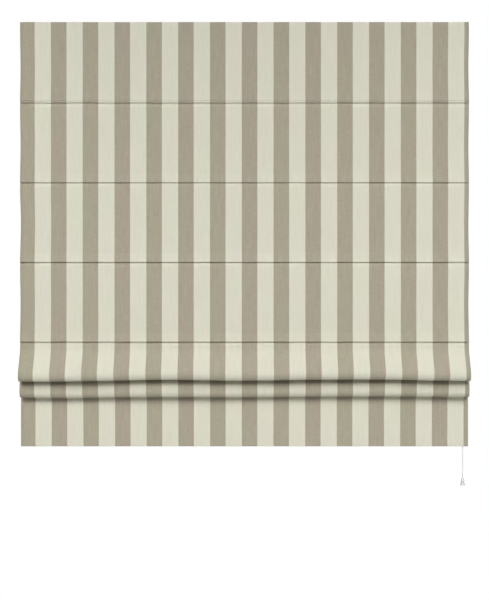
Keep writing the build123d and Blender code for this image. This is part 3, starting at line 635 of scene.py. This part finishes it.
# Painted shade and light: darker in the braid's grooves, lighter on its raised crowns
braid_shading = ramped(tree, plait, -1, 1, 0, 1)
coloured(tree, shader, mixed(tree, braid_shading, paint(208, 208, 210), paint(238, 238, 240)))
raised(tree, shader, plait, 0.0002, 0.7)
pull_cord.data.materials.append(braid)
print("braid on", pull_cord.name)

# %% [markdown]
# ## Dressing the solids
# Rail, caps, brackets, latches, guides, lock housing, connector and weight bar already have their true
# shape. They keep it, take their finish, and get a Bevel modifier of a few tenths of a millimetre,
# because no moulded or pressed edge is perfectly sharp and a small bevel catches the light.

# %% Dress the solids
def dress(name, finish, soften=0.0):
    piece = nodes[name]
    for holder in piece.material_slots:
        holder.material = finish
    if soften:
        bevel = piece.modifiers.new("softened_edges", "BEVEL")
        bevel.width = soften * MM
        bevel.segments = 2
        bevel.limit_method = "ANGLE"
        bevel.angle_limit = radians(35)
        bevel.harden_normals = True


dress("headrail", rail_paint, 0.25)
dress("bottom_bar", plain_bar, 0.2)
for side in ("left", "right"):
    dress(f"end_cap_{side}", moulded, 0.3)
    dress(f"bottom_bar_cap_{side}", moulded, 0.1)
for side in ("left", "centre", "right"):
    dress(f"wall_bracket_{side}", zinc, 0.25)
    dress(f"latch_{side}", moulded, 0.3)
for number in (1, 2, 3):
    dress(f"cord_guide_{number}", moulded, 0.2)
dress("guide_axles", zinc)
dress("cord_lock_axle", zinc)
dress("cord_lock_housing", moulded, 0.25)
dress("cord_connector_top", milky, 0.3)
dress("cord_connector_bottom", milky, 0.3)
print("dressed", sum(1 for piece in nodes.values() if piece.modifiers), "solids with softened edges")

# %% [markdown]
# ## Hook-and-loop tape
# The cloth hangs on its rail by two tapes that grip each other. Their faces are covered with tiny hooks
# and loops, which from a step away look like felt. A cell pattern a millimetre apart, raised by a bump,
# gives that pile without a single extra triangle. Each cell is painted darker towards its edges: painted
# shade in the hollows between the tufts.

# %% Tape finish
def pile(name, dark, light, spacing):
    finish, tree, shader = new_finish(name, Roughness=0.9, Sheen_Weight=0.3)
    where = put(tree, "ShaderNodeTexCoord").outputs["Object"]
    tufts = put(tree, "ShaderNodeTexVoronoi", {"Vector": where, "Scale": 1 / spacing}).outputs["Distance"]
    # Colour: painted shade, darker towards each cell's edge in the hollows between the tufts
    coloured(tree, shader, mixed(tree, tufts, paint(*light), paint(*dark)))
    raised(tree, shader, sums(tree, "SUBTRACT", 1.0, tufts), 0.0004, 0.8)
    return finish


dress("hook_tape", pile("hook_face", (176, 176, 172), (228, 228, 224), 0.0016))
dress("loop_tape", pile("loop_face", (190, 188, 178), (232, 230, 222), 0.0011))
print("tapes dressed")

# %% [markdown]
# ## Turned pieces
# Rods, rollers, rivets, the lock roller and the bell are round. Their solids are faceted to stay light,
# so the looks get true round pieces of the same size. All of them are profiles spun about an axis, as
# on a lathe, so one helper makes them: it takes the profile as pairs of distance along the axis and
# radius.

# %% Lathe
def turned(name, profile, places, axis, finish, body, stands_for, sides=40, knurl=0.0, hollow=True):
    ways = [Vector((1, 0, 0)), Vector((0, 1, 0)), Vector((0, 0, 1))]
    run, right, up = [ways[("XYZ".index(axis) + k) % 3] for k in range(3)]
    points, faces = [], []
    for place in places:
        first = len(points)
        for along, radius in profile:
            for turn in range(sides):
                angle = 2 * pi * turn / sides
                tooth = knurl if turn % 2 and radius > 3 else 0.0
                spot = Vector(place) + run * along + (right * cos(angle) + up * sin(angle)) * (radius - tooth)
                points.append(tuple(spot * MM))
        rings = len(profile)
        for ring in range(rings if hollow else rings - 1):
            for turn in range(sides):
                ahead = (turn + 1) % sides
                a, b = first + ring * sides, first + (ring + 1) % rings * sides
                faces.append((a + turn, a + ahead, b + ahead, b + turn))
        if not hollow:
            faces.append(tuple(first + turn for turn in reversed(range(sides))))
            faces.append(tuple(first + (rings - 1) * sides + turn for turn in range(sides)))
    piece = meshed(name, points, faces, finish)
    edges = piece.modifiers.new("sharp_edges", "EDGE_SPLIT")
    edges.split_angle = radians(38)
    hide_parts(*stands_for)
    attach(piece, body)
    return piece


def mirrored(half):
    return [(-along, radius) for along, radius in half] + list(reversed(half))


rod_profile = mirrored([(642.0, 1.7), (641.7, 2.0)])
for number, rod in enumerate(rods, 1):
    turned(f"round_rod_{number}", rod_profile, [(0, rod.x, rod.y)], "X", glass_rod, "blind",
           [f"stiffening_rod_{number}"], sides=20, hollow=False)
print("rods:", len(rods))

# %% [markdown]
# ## Rollers, rivets and the lock roller
# Each roller is a small grooved wheel of slippery plastic on a steel pin. Its groove has rounded
# corners, so that the cords centre themselves. The brass roller of the cord lock is knurled, because it
# has to bite on the cords. The rivets have low domed heads. All come off the same lathe, and a profile
# that is the same at both ends is written down by half and mirrored.

# %% Rollers, rivets and lock roller
groove = mirrored([(5.0, 1.6), (5.0, 6.2), (4.8, 6.5), (4.2, 6.5),
                   (4.0, 6.3), (3.9, 5.6), (3.4, 5.1), (2.8, 5.0)])
columns_x = (-520.0, 0.0, 520.0)
roller_z, wrap = -0.5, 5.9
for number, x in enumerate(columns_x, 1):
    turned(f"grooved_roller_{number}", groove, [(x + wrap, rail_y, roller_z)], "Y", slick,
           f"guide_roller_{number}", [f"guide_roller_{number}"])
turned("grooved_lock_wheel", groove, [(lock_x - wrap, rail_y, roller_z)], "Y", slick, "cord_lock_wheel",
       ["cord_lock_wheel"])
pinch = mirrored([(8.4, 1.2), (8.1, 1.5), (4.5, 1.5), (4.5, 3.3), (4.2, 3.5)])
pinch_x, pinch_z = lock_x - 4.4, -15.0
turned("knurled_lock_roller", pinch, [(pinch_x, rail_y, pinch_z)], "Y", brass, "cord_lock_roller",
       ["cord_lock_roller"], sides=72, knurl=0.22, hollow=False)
rivet = [(8.5, 3.2), (8.7, 3.5), (9.2, 3.5), (9.2, 2.0), (18.0, 2.0), (18.0, 1.5), (20.0, 1.5), (20.0, 3.5),
         (20.4, 3.4), (20.8, 2.9), (21.1, 1.8), (21.2, 0.6)]
bracket_x = (-450, 0, 450)
turned("domed_rivets", rivet, [(x, rail_y, 0) for x in bracket_x], "Z", zinc, "blind",
       ["latch_rivets"], hollow=False)
print("rollers and rivets turned")

# %% [markdown]
# ## The bell
# The pull ends in a small hollow bell of milky plastic, wider at its mouth, with the knot under its
# roof. In the photograph its sides look bright and its middle a little darker, as thin translucent
# walls do. A plain cone would look solid, so the profile draws the whole wall: up the outside, over a
# rounded top, through the cord's hole and down the inside to a rolled lip.

# %% Bell
outside = [(0.0, 6.2), (0.0, 6.8), (0.4, 7.0), (1.2, 6.9), (1.8, 6.66), (10.0, 5.1), (18.6, 3.46)]
top_and_hole = [(19.6, 3.0), (20.0, 2.2), (20.0, 1.3), (17.0, 1.3)]
hem_edge_shade = [(17.0, 2.3), (16.4, 2.7), (10.0, 3.9), (1.0, 5.6), (0.3, 5.8)]
bell = turned("milky_bell", outside + top_and_hole + hem_edge_shade, [(lock_x, bell_y, bell_mouth_z)], "Z", milky,
              "blind", ["pull_bell"], sides=64)
print("bell of", len(bell.data.polygons), "faces")

# %% [markdown]
# ## Rings
# Each pocket carries three milky rings, one for each lift cord, in upright lines so that the cords run
# straight. The rings of the lowest pocket stand upright, because the cords are tied there. A ring is
# simply a torus. A few turns of thread hold each one to its pocket: those are thin tori too, in one
# mesh with the rings so that they stay together.

# %% Rings
def torus(points, faces, middle, normal, large, small, steps=40, sides=10):
    turn_to = Vector((0, 0, 1)).rotation_difference(Vector(normal)).to_matrix()
    first = len(points)
    for step in range(steps):
        way = 2 * pi * step / steps
        for side in range(sides):
            angle = 2 * pi * side / sides
            reach = large + small * cos(angle)
            spot = Vector(middle) + turn_to @ Vector((reach * cos(way), reach * sin(way), small * sin(angle)))
            points.append(tuple(spot * MM))
    for step in range(steps):
        for side in range(sides):
            a, b = first + step * sides, first + (step + 1) % steps * sides
            ahead = (side + 1) % sides
            faces.append((a + side, b + side, b + ahead, a + ahead))


ring_radius, ring_wire, loop_radius, loop_wire, loop_out = 8.5, 1.0, 1.35, 0.2, 0.7
ring_reach = ring_radius + ring_wire
pocket_skin = pocket_half + half_sheet + 0.3
along_x, along_y, along_z = (1, 0, 0), (0, 1, 0), (0, 0, 1)


def by_pocket(rod, lowest, x, out, aside=0.0):
    if lowest:
        return (x, rail_y + aside, rod.y + pocket_skin + out)
    return (x + aside, rod.x + pocket_skin + out, rod.y)


for number, rod in enumerate(rods, 1):
    lowest = number == len(rods)
    points, faces = [], []
    for x in columns_x:
        middle = by_pocket(rod, lowest, x, ring_reach)
        torus(points, faces, middle, along_x if lowest else along_z, ring_radius, ring_wire)
    threads = len(faces)
    for x in columns_x:
        for aside in (-0.7, 0, 0.7):
            middle = by_pocket(rod, lowest, x, loop_out, aside)
            torus(points, faces, middle, along_y if lowest else along_x, loop_radius, loop_wire, 16, 6)
    rings = meshed(f"cord_rings_{number}", points, faces, milky, cotton)
    for face in rings.data.polygons[threads:]:
        face.material_index = 1
    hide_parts(f"rod_rings_{number}")
    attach(rings, "blind")
print("rings on", len(rods), "pockets")

# %% [markdown]
# ## Lift cords and knots
# Each lift cord is tied to the ring of the lowest pocket, climbs through the rings above it, goes over
# its roller, runs along the rail and drops through the lock into the connector. A control point close
# to each side of a roller keeps the spline tight round it. A knot is a short closed curve that winds
# over and under itself, like a trefoil.

# %% Lift cords
lanes = (-28.4, -26.0, -23.6)
run_z, near = roller_z + wrap, 2 * wrap
tie_z = rods[-1].y + pocket_skin + ring_reach + ring_radius
connector_roof, knot_step = -63.7, 1.6


def knot(name, place, size, thickness, steps=24):
    winding = []
    for step in range(steps):
        t = 2 * pi * step / steps
        spot = Vector((sin(t) + 2 * sin(2 * t), cos(t) - 2 * cos(2 * t), -1.4 * sin(3 * t)))
        winding.append(Vector(place) + spot * (size / 3.4))
    tied = corded(name, winding, thickness, closed=True)
    tied.data.materials.append(braid)
    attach(tied, "blind")
    return tied


for number, (x, lane) in enumerate(zip(columns_x, lanes), 1):
    knot_z = connector_roof - knot_step * (1 + 2 * (number % 2))
    climb = [(x, tie_z), (x, run_z - near), (x, run_z), (x + near, run_z)]
    drop = [(lock_x - near, run_z), (lock_x, run_z), (lock_x, run_z - near), (lock_x, knot_z)]
    cord = corded(f"braided_lift_cord_{number}", [(along, lane, z) for along, z in climb + drop], 1.2)
    cord.data.materials.append(braid)
    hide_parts(f"lift_cord_{number}")
    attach(cord, "blind")
    knot(f"ring_knot_{number}", (x, lane, tie_z), 1.6, 1.0)
    knot(f"connector_knot_{number}", (lock_x, lane, knot_z), 1.0, 0.8)
knot("pull_knot_top", pull_route[0], 1.7, 1.4)
lower_knot = knot("pull_knot_bell", pull_route[-1], 1.5, 1.2)
print("lift cords tied at", round(tie_z, 1))
